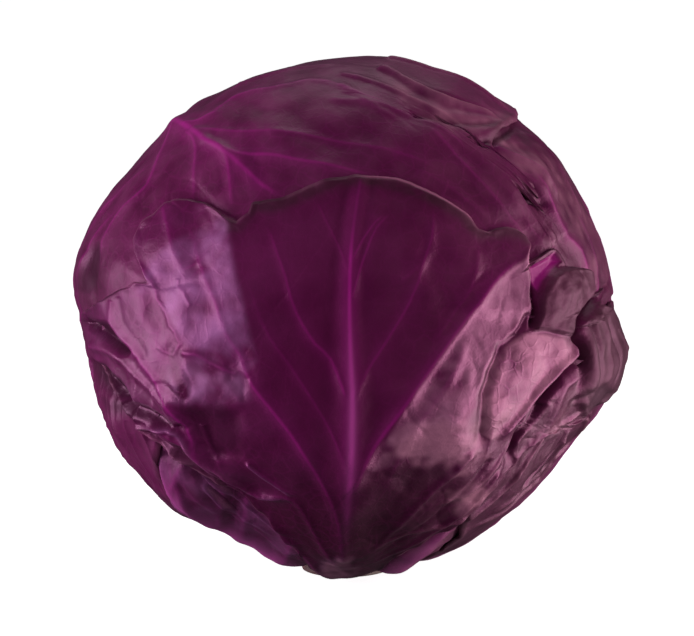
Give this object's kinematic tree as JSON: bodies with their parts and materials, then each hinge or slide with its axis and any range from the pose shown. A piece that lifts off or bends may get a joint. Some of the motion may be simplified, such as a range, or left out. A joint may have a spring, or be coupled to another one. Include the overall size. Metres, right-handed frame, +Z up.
{
  "type": "red cabbage head",
  "caption": "Whole head of red cabbage: glossy purple wrapper leaves folded tightly over a round solid head, standing on its flat cut stump",
  "frame": {"origin": "centre of the stump's flat cut face, the face the head stands on", "axes": "+Z up from the cut face through the head; the midrib of the outermost leaf faces -Y, and +X is to the right seen from there"},
  "size_m": [0.1656, 0.1561, 0.1565],
  "materials": {
    "front_leaf": "waxy deep purple leaf, magenta veins",
    "crown_leaf": "waxy purple leaf, magenta veins",
    "right_leaf": "waxy purple leaf, pink veins",
    "front_left_leaf": "waxy purple leaf",
    "back_leaf": "waxy purple leaf",
    "front_right_leaf": "waxy purple leaf",
    "left_leaf": "waxy purple leaf",
    "back_right_leaf": "waxy purple leaf",
    "inner_head": "packed inner leaves",
    "stump": "pale fibrous cut stem"
  },
  "bodies": {
    "root": {"front_leaf": "front_leaf", "crown_leaf": "crown_leaf", "right_leaf": "right_leaf", "front_left_leaf": "front_left_leaf", "back_leaf": "back_leaf", "front_right_leaf": "front_right_leaf", "left_leaf": "left_leaf", "back_right_leaf": "back_right_leaf", "inner_head": "inner_head", "stump": "stump"}
  },
  "joints": []
}
